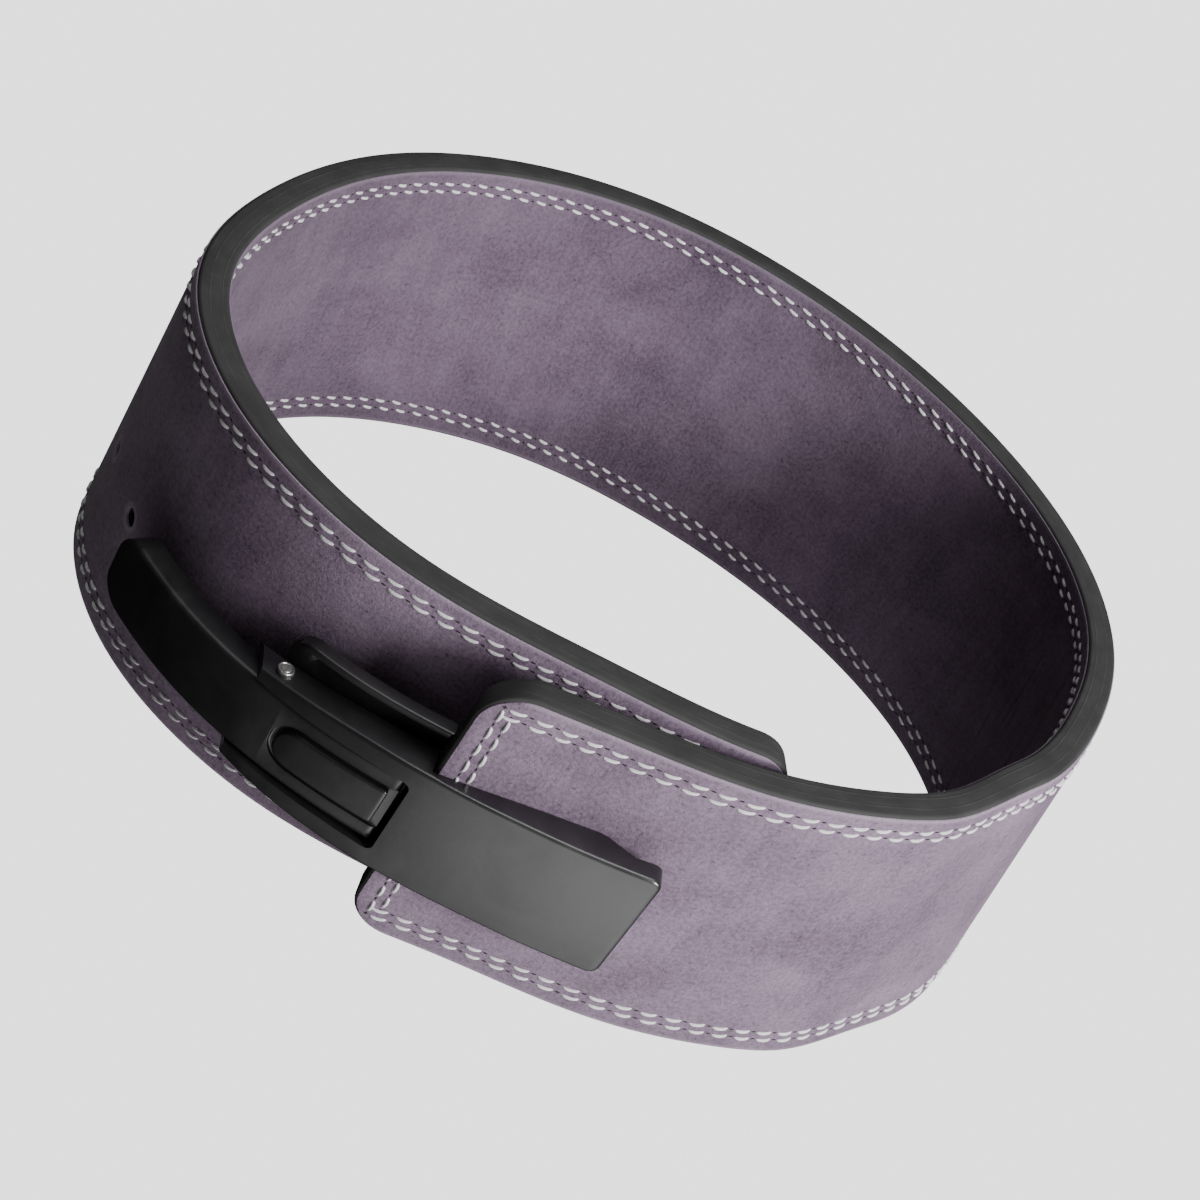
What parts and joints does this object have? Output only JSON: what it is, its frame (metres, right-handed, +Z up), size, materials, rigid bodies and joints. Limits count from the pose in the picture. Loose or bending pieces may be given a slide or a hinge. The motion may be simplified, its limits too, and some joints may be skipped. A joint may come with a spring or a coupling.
{
  "type": "weightlifting belt",
  "caption": "Stiff suede-faced leather weightlifting belt, closed into an oval ring by an over-centre lever buckle whose hook plate grips holes in the inner end.",
  "frame": {"origin": "on the surface it stands on, under the middle of the belt's bounding box", "axes": "+Z up along the ring's axis, from the bottom rim to the top rim; -Y towards the buckle; +X to the right seen from the buckle's side"},
  "size_m": [0.3102, 0.2982, 0.102],
  "materials": {
    "suede": "napped mauve suede",
    "edge_paint": "smooth charcoal edge paint over leather",
    "buckle_black": "satin black coating on pressed steel",
    "pin_steel": "bare steel, dull",
    "thread": "waxed white thread"
  },
  "bodies": {
    "root": {"strap_core": "edge_paint", "outer_suede": "suede", "inner_suede": "suede", "base_plate": "buckle_black", "lever": "buckle_black", "hook_plate": "buckle_black", "hinge_rivet_upper": "pin_steel", "hinge_rivet_lower": "pin_steel", "link_pin": "pin_steel", "mount_screw_upper": "pin_steel", "mount_screw_lower": "pin_steel"}
  },
  "joints": []
}
